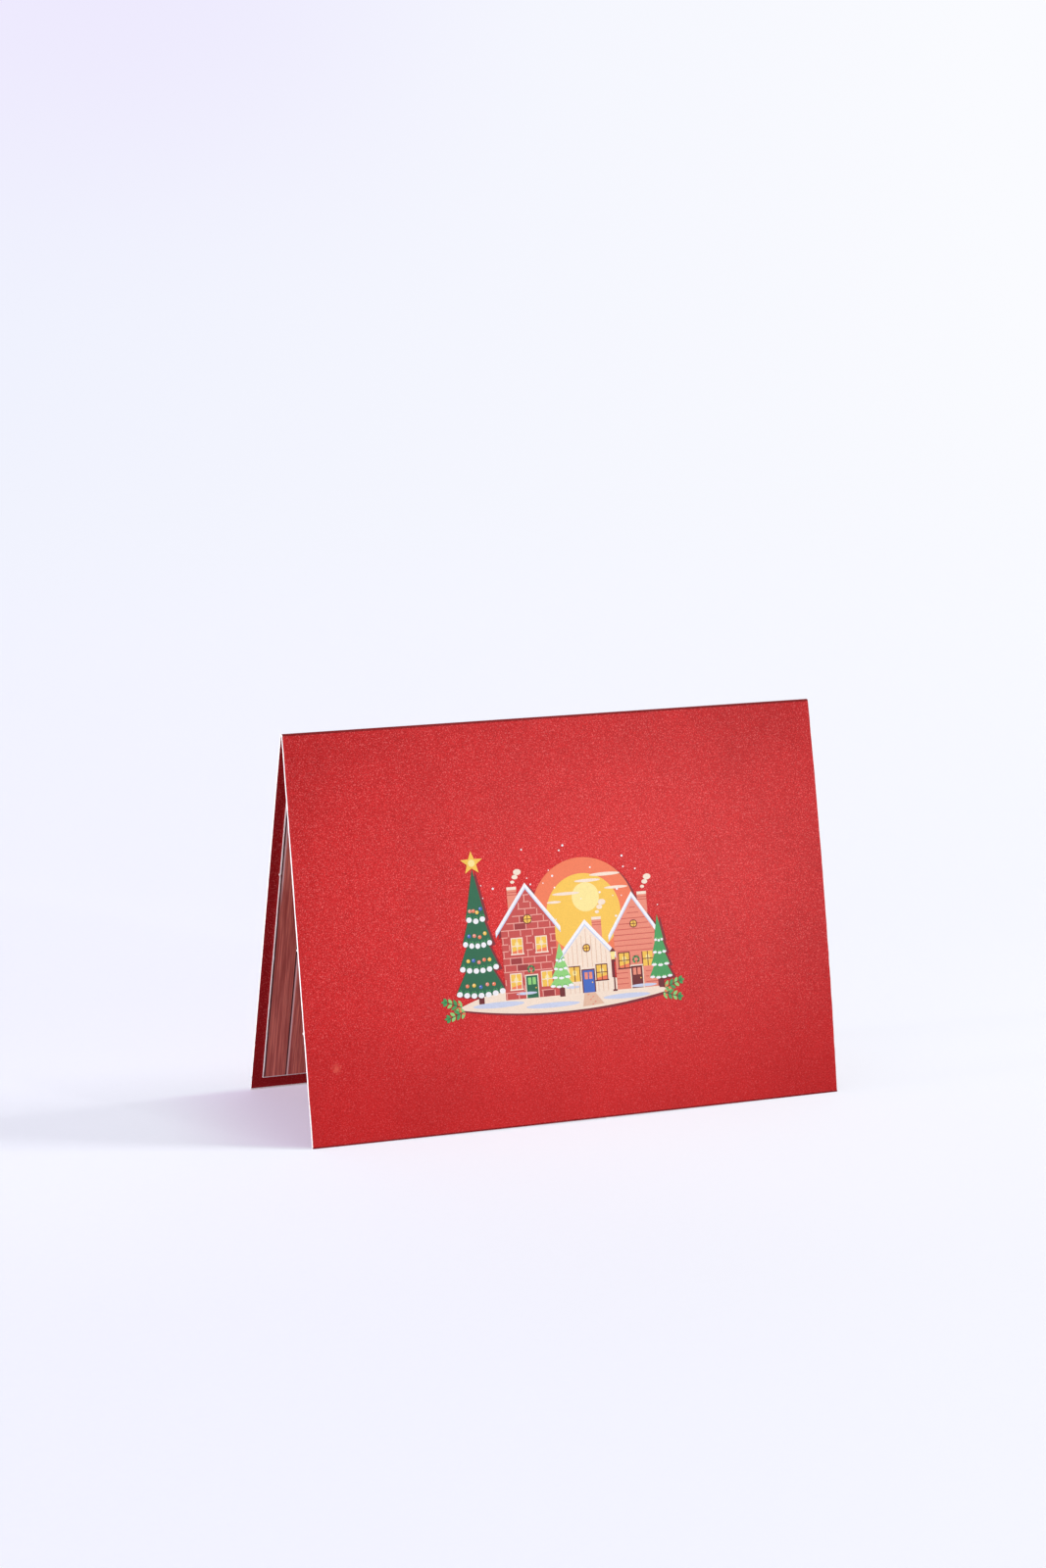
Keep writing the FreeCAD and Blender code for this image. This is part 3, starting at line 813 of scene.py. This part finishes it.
def draw_openings(detail):
    """The windows' frames, bars and light, and the doors' frames, knobs and panes."""
    for house, fronts in ((TALL, MIDDLE_FIR + MIDDLE_TRUNK), (LOW, MIDDLE_FIR), (END, RIGHT_FIR)):
        frame_tint = "cream" if house is TALL else "maroon"
        for left, foot, right, top in windows(house):
            middle, half = (left + right) / 2, (foot + top) / 2
            for bar in (
                box(left - FRAME, foot, left, top),
                box(right, foot, right + FRAME, top),
                box(left - FRAME, top, right + FRAME, top + 0.32),
                box(left - 0.55, foot - 0.42, right + 0.55, foot),
                box(middle - BAR, foot, middle + BAR, half - BAR),
                box(middle - BAR, half + BAR, middle + BAR, top),
                box(left, half - BAR, right, half + BAR),
            ):
                detail.add(frame_tint, 2, bar, fronts)
            sunset = [(left, foot), (right, foot), (right, foot + 1.3), (left, foot + 0.6)]
            detail.add("orange", 1, sunset, fronts)
            detail.add("glow", 1, ellipse(middle, half + 0.4, 0.75, 0.95, 12), fronts)
        left, foot, right, top = door(house)
        for bar in (
            box(left - DOOR_FRAME, foot, left, top),
            box(right, foot, right + DOOR_FRAME, top),
            box(left - DOOR_FRAME, top, right + DOOR_FRAME, top + 0.36),
        ):
            detail.add("maroon" if house is LOW else "cream", 2, bar, fronts)
        detail.add("yellow", 2, ellipse(right - 0.7, foot + 3.1, 0.22, 0.22, 8), fronts)
        for pane in (
            box(left + 0.6, foot + 4.2, left + 1.7, top - 0.6),
            box(right - 1.7, foot + 4.2, right - 0.6, top - 0.6),
        ):
            detail.add("light_green" if house is TALL else "salmon", 1, pane, fronts)


def draw_wreaths(detail):
    """A wreath over the doors of the tall house and the end one."""
    for house in (TALL, END):
        x, y = house["middle"], HOUSE_FOOT + DOOR[1] + 2.0
        for index in range(WREATH_LEAVES):
            angle = 2 * math.pi * index / WREATH_LEAVES
            place = (x + 0.95 * math.cos(angle), y + 0.95 * math.sin(angle))
            tint = "dark_green" if index % 2 else "green"
            detail.add(tint, 3, ellipse(*place, 0.42, 0.3, 8, angle + 0.9))
        detail.add("orange", 4, ellipse(x, y - 1.0, 0.42, 0.32, 8))


def draw_gable_windows(detail):
    """A round window with a cross of bars in each gable."""
    for house in HOUSES.values():
        x, y = house["middle"], HOUSE_FOOT + house["walls"] + house["gable"] * 0.22
        radius = 1.25 if house is TALL else 1.0
        detail.add("maroon", 2, ellipse(x, y, radius + FRAME, radius + FRAME, 18))
        detail.add("yellow", 3, ellipse(x, y, radius, radius, 18))
        detail.add("maroon", 4, box(x - HAIRLINE, y - radius, x + HAIRLINE, y + radius))
        for left, right in ((x - radius, x - HAIRLINE), (x + HAIRLINE, x + radius)):
            detail.add("maroon", 4, box(left, y - HAIRLINE, right, y + HAIRLINE))


def draw_roofs(detail):
    """Shade along the lower edge of each roof's snow, and each chimney's snow, courses and smoke."""
    fronts = {"tall": LOW_FRONT, "low": [], "end": [roof(LOW)] + RIGHT_FIR}
    for name, house in HOUSES.items():
        eave, ridge, far_eave = roof(house)[:3]
        for first, last in ((eave, ridge), (ridge, far_eave)):
            for step in range(ROOF_STEPS):
                (ax, ay), (bx, by) = (
                    tuple(first[i] + (last[i] - first[i]) * mark / ROOF_STEPS for i in (0, 1))
                    for mark in (step, step + 1))
                shade = [(ax, ay), (bx, by), (bx, by + 0.6), (ax, ay + 0.6)]
                detail.add("shade", 0, shade, fronts[name])
        x = house["middle"] + house["chimney"] * house["width"] / 4
        top = HOUSE_FOOT + house["walls"] + house["gable"] / 2 + CHIMNEY_RISE
        left, right = x - CHIMNEY_HALF, x + CHIMNEY_HALF
        detail.add("cream", 0, box(left, top - 0.9, right, top))
        for down in (1.7, 2.5):
            detail.add("brick", 0, box(left, top - down - HAIRLINE, right, top - down + HAIRLINE))
        for puff in range(3):
            place = (x + 0.5 + puff * 0.9, top + 1.5 + puff * 1.5)
            detail.add("cream", 0, ellipse(*place, 0.7 + 0.3 * puff, 0.5 + 0.22 * puff, 14))


def draw_ground(detail):
    """Drifts on the ground, a path from the low house's door, and footprints."""
    for drift in DRIFTS:
        detail.add("shade", 0, ellipse(*drift, 24))
    detail.add("tan", 1, [(6.7, 1.5), (10.3, 1.5), (13.2, -2.3), (6.0, -2.7)])
    for index in range(5):
        x = 8.6 + 0.35 * index + (0.6 if index % 2 else -0.6)
        detail.add("salmon", 2, ellipse(x, 0.9 - 0.8 * index, 0.34, 0.2, 8, 0.3))


def draw_firs(detail):
    """Snow and needles on the firs, and the heart of the left one's star."""
    for name, needle_tint in (("left", "green"), ("right", "light_green"), ("middle", "green")):
        fir = FIRS[name]
        rise = tier_rise(fir["height"])
        size = fir["width"] * 0.052
        for (left, base), (middle, dip), (right, _), _ in fir_outlines(**fir):
            count = max(3, round((right - left) / 2.2))
            for index in range(count):
                share = (index + 0.5) / count
                x = left + (right - left) * share
                y = base - (base - dip) * (1 - (2 * share - 1) ** 2)
                snow = ellipse(x, y + size * 0.45, (right - left) / count * 0.42, size, 12)
                detail.add("white", 1, snow)
                for side in (-1, 1):
                    start = (x + side * 0.25, y + size * 2.2)
                    stop = (x + side * size * 0.9, y + size * 1.35)
                    reach = (right - left) / 2 * (1 - (start[1] - base) / (2 * rise))
                    if abs(start[0] - middle) < reach - 0.5:
                        detail.add(needle_tint, 1, stroke(start, stop, 0.24))
    star = (FIRS["left"]["middle"], FIR_FOOT + FIRS["left"]["height"] + 1.9)
    detail.add("glow", 1, ellipse(*star, 1.15, 1.15, 10))


def draw_baubles(detail):
    """Baubles on the left fir, each with a small shine."""
    fir = FIRS["left"]
    for tier, ((left, base), _, (right, _), _) in enumerate(LEFT_FIR):
        count = 5 - tier // 2
        for index in range(count):
            share = -0.62 + 1.24 * index / (count - 1)
            x = fir["middle"] + (right - left) / 2 * share * 0.86
            y = base + 1.9 + 1.5 * share * share + (0.5 if index % 2 else 0.0)
            tint = BAUBLES[(index + tier) % len(BAUBLES)]
            detail.add(tint, 2, ellipse(x, y, 0.6, 0.6, 12))
            detail.add("white", 3, ellipse(x - 0.18, y + 0.2, 0.16, 0.16, 6))


def draw_sky(detail):
    """Thin clouds over the sun, and a paler heart in its glow."""
    for cloud in CLOUDS:
        detail.add("cream", 1, ellipse(*cloud, 20), HOUSE_FRONTS)
    detail.add("glow", 0, ellipse(9.5, 31.5, 4.6, 4.6, 28), HOUSE_FRONTS)


def draw_lamp(detail):
    """A street lamp between the houses."""
    detail.add("maroon", 3, box(17.0, 1.6, 17.45, 11.2))
    detail.add("maroon", 3, box(16.5, 1.2, 17.95, 1.75))
    detail.add("maroon", 3, [(16.2, 13.6), (18.25, 13.6), (17.225, 14.9)])
    detail.add("glow", 3, [(16.7, 11.2), (17.75, 11.2), (18.05, 13.6), (16.4, 13.6)])


def draw_sprigs(detail):
    """Leafy sprigs with berries at both ends of the ground."""
    for x, y, turn, bend in SPRIGS:
        cos, sin = math.cos(turn), math.sin(turn)
        for index in range(4):
            foot = (x + LEAF_STEP * cos * index, y + LEAF_STEP * sin * index)
            ahead = turn + bend * index
            for side in (1, -1):
                tint = ("light_green", "green")[index % 2]
                detail.add(tint, 2, leaf(*foot, 2.5 - 0.25 * index, 1.05, ahead + side * 0.8))
        tip = (x + 5.1 * cos, y + 5.1 * sin)
        detail.add("green", 2, leaf(*tip, 2.0, 0.9, turn + 3 * bend))
        detail.add("dark_green", 3, stroke((x, y), tip, 0.22))
        for along, aside in ((0.6, 0.5), (1.2, -0.6)):
            detail.add("orange", 4, ellipse(*swung(x, y, along, aside, turn), 0.42, 0.42, 10))


def draw_snowflakes(detail):
    """Snowflakes in the sky, under a wide arch."""
    fronts = HOUSE_FRONTS + LEFT_FIR + RIGHT_FIR + MIDDLE_FIR
    for _ in range(FLAKES):
        x, y = random.uniform(-36, 37), random.uniform(14, 50)
        size = random.choice((0.2, 0.28, 0.36))
        if y < 50 - 0.012 * (x - 2) ** 2:
            detail.add("white", 2, ellipse(x, y, size, size, 8), fronts)


def draw_details():
    """All small fields by colour and layer. The order of the steps sets the random draws."""
    detail = Detail()
    random.seed(7)
    for draw in (
        draw_bricks, draw_boards, draw_openings, draw_wreaths, draw_gable_windows, draw_roofs,
        draw_ground, draw_firs, draw_baubles, draw_sky, draw_lamp, draw_sprigs, draw_snowflakes,
    ):
        draw(detail)
    return detail.fields


# The details' films in millimetres: the grid that cuts them, their faces, and the layers' step.
GRID = 5.0
FILM_LOW = 0.004
FILM_TOP = 0.078
LAYER = 0.012
WELD = 1e-5


def stamp(name, outlines, layer, material):
    """A piece of thin ink solids that follow the bent panel, one for each outline, cut on a grid."""
    flat = bmesh.new()
    for outline in outlines:
        corners = [Vector((x, y, 0)) for x, y in outline]
        for triangle in tessellate_polygon([corners]):
            flat.faces.new([flat.verts.new(corners[index]) for index in triangle])
    bmesh.ops.remove_doubles(flat, verts=flat.verts[:], dist=WELD)
    for axis in (0, 1):
        normal = Vector((1, 0, 0)) if axis == 0 else Vector((0, 1, 0))
        values = [vertex.co[axis] for vertex in flat.verts]
        mark = math.ceil(min(values) / GRID) * GRID
        while mark < max(values):
            geometry = flat.verts[:] + flat.edges[:] + flat.faces[:]
            bmesh.ops.bisect_plane(
                flat, geom=geometry, dist=WELD, plane_co=normal * mark, plane_no=normal)
            mark += GRID
    top_at = FILM_TOP + LAYER * layer
    mesh = bmesh.new()
    flat.verts.index_update()
    low = [mesh.verts.new(surface(v.co.x, v.co.y, FILM_LOW)) for v in flat.verts]
    high = [mesh.verts.new(surface(v.co.x, v.co.y, top_at)) for v in flat.verts]
    for face in flat.faces:
        order = [v.index for v in face.verts]
        if face.normal.z < 0:
            order.reverse()
        mesh.faces.new([high[index] for index in order])
        mesh.faces.new([low[index] for index in reversed(order)])
    for edge in flat.edges:
        if len(edge.link_faces) == 1:
            loop = edge.link_loops[0]
            first, last = loop.vert.index, loop.link_loop_next.vert.index
            if edge.link_faces[0].normal.z < 0:
                first, last = last, first
            mesh.faces.new((low[first], low[last], high[last], high[first]))
    flat.free()
    piece = finish_mesh(name, mesh)
    piece.data.materials.append(material)
    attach(piece, "root")
    return piece


# ---- stage, light, camera

def turned(*degrees):
    """The camera's axes for a yaw from +Y towards +X, a pitch upward and a roll."""
    yaw, pitch, roll = (math.radians(angle) for angle in degrees)
    level = math.cos(pitch)
    ahead = Vector((math.sin(yaw) * level, math.cos(yaw) * level, math.sin(pitch)))
    aside = Vector((math.cos(yaw), -math.sin(yaw), 0))
    above = aside.cross(ahead)
    right = math.cos(roll) * aside + math.sin(roll) * above
    up = -math.sin(roll) * aside + math.cos(roll) * above
    return Matrix((right, up, -ahead)).transposed()


def add_camera():
    data = bpy.data.cameras.new("camera")
    data.lens = LENS
    data.sensor_width = SENSOR_WIDTH
    data.clip_end = CLIP_END
    camera = placed("camera", data)
    axes = turned(CAMERA_YAW, CAMERA_PITCH, CAMERA_ROLL).to_4x4()
    camera.matrix_world = Matrix.Translation(Vector(CAMERA_PLACE) * MM) @ axes
    bpy.context.scene.camera = camera


def add_lamp(name, kind, power, to_lamp):
    """A lamp that shines against the direction to_lamp."""
    data = bpy.data.lights.new(name, kind)
    data.energy = power
    lamp = placed(name, data)
    lamp.rotation_euler = to_lamp.to_track_quat("Z", "Y").to_euler()
    return lamp


def add_sun(name, azimuth, elevation, strength, width, tint):
    """A lamp far away. azimuth is the way to it, from +X towards +Y, in degrees."""
    azimuth, elevation = math.radians(azimuth), math.radians(elevation)
    level = math.cos(elevation)
    to_lamp = Vector((math.cos(azimuth) * level, math.sin(azimuth) * level, math.sin(elevation)))
    lamp = add_lamp(name, "SUN", strength, to_lamp)
    lamp.data.angle = math.radians(width)
    lamp.data.color = tint


def add_spot(name, power, opening, softness, place, aim, stretch=1.0):
    """A soft round pool of light, wider across by its stretch. Places are in metres."""
    lamp = add_lamp(name, "SPOT", power, Vector(place) - Vector(aim))
    lamp.data.spot_size = math.radians(opening)
    lamp.data.spot_blend = 1.0
    lamp.data.shadow_soft_size = softness
    lamp.location = place
    lamp.scale = (stretch, 1.0, 1.0)


FLOOR_HALF = 9.0
SWEEP_START = 1.5
SWEEP_RADIUS = 0.9
SWEEP_STEPS = 24
WALL_TOP = 4.0


def add_stage():
    """A pale floor that turns up in a sweep behind the card."""
    mesh = bmesh.new()
    profile = [(y, 0.0) for y in (-FLOOR_HALF, -3.0, -1.0, 0.0, 0.8, SWEEP_START)]
    for step in range(1, SWEEP_STEPS + 1):
        angle = math.pi / 2 * step / SWEEP_STEPS
        y, z = SWEEP_RADIUS * math.sin(angle), SWEEP_RADIUS * (1 - math.cos(angle))
        profile.append((SWEEP_START + y, z))
    profile.append((SWEEP_START + SWEEP_RADIUS, WALL_TOP))
    columns = [-FLOOR_HALF, -3.0, -1.0, 0.0, 1.0, 3.0, FLOOR_HALF]
    grid = [[mesh.verts.new((x, y, z)) for y, z in profile] for x in columns]
    for first, second in zip(grid, grid[1:]):
        for index in range(len(profile) - 1):
            made = mesh.faces.new((first[index], second[index], second[index + 1], first[index + 1]))
            made.smooth = True
    stage = finish_mesh("studio_sweep", mesh)
    stage.data.materials.append(stage_material())


# The share of plain glow in what the camera sees near the card, from left to right.
NEAR_GLOW = (0.53, 0.74)
FAR_LEFT_GLOW = 0.1
WHITE = (1.0, 1.0, 1.0, 1.0)
# Painted shade and red bounce light on the floor under and beside the card.
PAINTED_BOUNCE_SHADE = (0.86, 0.75, 0.85, 1.0)
# The painted shade's bounds in metres: past the left end and up to the right one, and between the feet.
BOUNCE_SHADE_LEFT = (-0.132, -0.085)
BOUNCE_SHADE_RIGHT = (0.08, 0.092)
BOUNCE_SHADE_FRONT = (-0.0315, -0.027)
BOUNCE_SHADE_BACK = (0.029, 0.036)
LEFT_END = -0.089
BOUNCE_SHADE_SLOPE = 0.45
# The floor and backdrop are painted brighter towards the right, where the light is stronger; the
# backdrop is darker and more lavender towards the upper left.
FLOOR_LEFT = colour(245, 245, 254)
FLOOR_RIGHT = colour(250, 252, 255)
NEAR_LEFT = colour(241, 241, 255)
NEAR_RIGHT = colour(250, 252, 255)
BACKDROP = colour(245, 248, 255)
BACKDROP_LEFT = colour(240, 242, 254)
BACKDROP_RIGHT = colour(250, 251, 255)
BACKDROP_CORNER = colour(238, 234, 254)


def painted_bounce_shade(nodes, x, y):
    """The floor under the tent and beside its left end is painted darker and pinker: painted shade, and
    red light bounced from the card.
    """
    beside = nodes.times(nodes.ramp(x, *BOUNCE_SHADE_LEFT), nodes.ramp(x, *BOUNCE_SHADE_RIGHT, 1.0, 0.0))
    past_end = nodes.math("MAXIMUM", nodes.math("SUBTRACT", LEFT_END, x), 0.0)
    inward = nodes.math("SUBTRACT", y, nodes.times(past_end, BOUNCE_SHADE_SLOPE))
    between = nodes.times(nodes.ramp(inward, *BOUNCE_SHADE_FRONT), nodes.ramp(y, *BOUNCE_SHADE_BACK, 1.0, 0.0))
    return nodes.mix(nodes.times(beside, between), WHITE, PAINTED_BOUNCE_SHADE)


def stage_material():
    """Pale paper. Seen by the camera it is part lit surface, which keeps the shadow, and part plain
    glow, which is all there is of it further back."""
    nodes = Nodes("studio_paper")
    x, y, z = nodes.split()
    sideways = nodes.math("SUBTRACT", x, nodes.times(y, 0.4))
    # Painted light: brighter towards the right.
    to_right = nodes.ramp(sideways, -0.45, 0.45, smooth=False)
    bounce_shade = painted_bounce_shade(nodes, x, y)
    fibre = nodes.ramp(nodes.noise(420, 3.0, 0.7), 0.3, 0.7, 0.985, 1.0)
    paper = nodes.mix(1.0, nodes.mix(to_right, FLOOR_LEFT, FLOOR_RIGHT), bounce_shade, "MULTIPLY")
    paper = nodes.mix(1.0, paper, fibre, "MULTIPLY")
    diffuse = nodes.add("BsdfDiffuse", Color=paper)
    corner = nodes.times(nodes.ramp(z, 0.03, 0.3), nodes.ramp(to_right, 0.0, 0.55, 1.0, 0.0))
    backdrop = nodes.mix(to_right, BACKDROP_LEFT, BACKDROP_RIGHT)
    far_glow = nodes.mix(corner, backdrop, BACKDROP_CORNER)
    far = nodes.ramp(y, 0.15, 1.2)
    near_paper = nodes.mix(1.0, nodes.mix(to_right, NEAR_LEFT, NEAR_RIGHT), bounce_shade, "MULTIPLY")
    glow = nodes.mix(far, near_paper, far_glow)
    by_card = nodes.ramp(sideways, 0.0, 0.13, *NEAR_GLOW)
    near_glow = nodes.math("ADD", by_card, nodes.ramp(sideways, -0.3, -0.1, FAR_LEFT_GLOW, 0.0))
    share = nodes.ramp(far, 0.0, 1.0, near_glow, 1.0, smooth=False)
    emission = nodes.add("Emission", Color=glow, Strength=1.0)
    return nodes.use(nodes.mix_shaders(nodes.times(nodes.seen(), share), diffuse, emission))


WORLD_TINT = (0.955, 0.95, 1.1, 1.0)
WORLD_LEVEL = 0.51


def add_world():
    """An even light. The camera and clear reflections see the backdrop's colour instead."""
    nodes = Nodes("studio", bpy.data.worlds, "OutputWorld")
    light = nodes.add("Background", Color=WORLD_TINT, Strength=WORLD_LEVEL)
    plain = nodes.add("Background", Color=BACKDROP, Strength=1.0)
    bpy.context.scene.world = nodes.use(nodes.mix_shaders(nodes.seen(), light, plain))


# The key's steps by elevation in degrees and strength: together they make one tall soft light.
KEY_AZIMUTH = -12.7
KEY_TINT = (1.0, 0.99, 0.965)
KEY_STEPS = ((17, 0.36), (23, 0.42), (30, 0.47), (38, 0.48), (46, 0.44))
KEY_WIDTH = 5.0
# The fill: azimuth, elevation, strength and width, then its tint.
FILL = (198.0, 24.0, 0.5, 50.0)
FILL_TINT = (0.96, 0.97, 1.0)


def add_lights():
    for elevation, strength in KEY_STEPS:
        add_sun(f"key_{elevation}", KEY_AZIMUTH, elevation, strength, KEY_WIDTH, KEY_TINT)
    add_sun("left_fill", *FILL, FILL_TINT)
    # Brightest above the middle of the front panel.
    add_spot("front_pool", 82.0, 5.87, 0.05, (1.06, -1.43, 0.5), (0.0, -0.02, 0.07), 1.24)
    # From the left, in the front panel's plane, so that it catches only the white cut edges there.
    add_spot("edge_light", 98.0, 9.5, 0.1, (-1.3, 0.0, 0.22), (-0.089, -0.01, 0.06))


def add_cover(core):
    nibs = {"front_nibs": FRONT_NIBS, "back_nibs": (BACK_NIB,), "foot_nib": FOOT_NIB_ACROSS}
    cover = sheet_mesh("card_cover", COVER, COVER_RIMS, **nibs)
    outside, inside, foot_shade = (pearl_card(name, *look) for name, look in PEARLS.items())
    for material in (outside, inside, core, foot_shade):
        cover.data.materials.append(material)
    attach(cover, "root")
    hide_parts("cover")


def add_liner(core):
    liner = sheet_mesh("card_liner", LINER, LINER_RIMS, rim_inside=True, back_nibs=(LINER_NIB,))
    for material in (card_core("liner_glued_side", GLUED_SHADE), wood_print("wood_plank_print"), core):
        liner.data.materials.append(material)
    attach(liner, "root")
    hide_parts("liner")


def add_picture(nodes):
    """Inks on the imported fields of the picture, and its small details as thin pieces over them."""
    inks = {name: ink(f"ink_{name}", tint) for name, tint in TINTS.items()}
    for node, piece in nodes.items():
        if node.startswith("print_"):
            piece.data.materials.clear()
            piece.data.materials.append(inks[node[len("print_"):]])
    for (tint, layer), outlines in draw_details().items():
        piece = stamp(f"detail_{tint}_{layer}", outlines, layer, inks[tint])


def main():
    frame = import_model()
    add_camera()
    add_stage()
    add_world()
    add_lights()
    add_cover(card_core("bare_card_edge"))
    add_liner(card_core("bare_liner_edge"))
    add_picture(frame["nodes"])
    bpy.context.scene.view_settings.view_transform = "Standard"
    bpy.context.view_layer.update()


main()
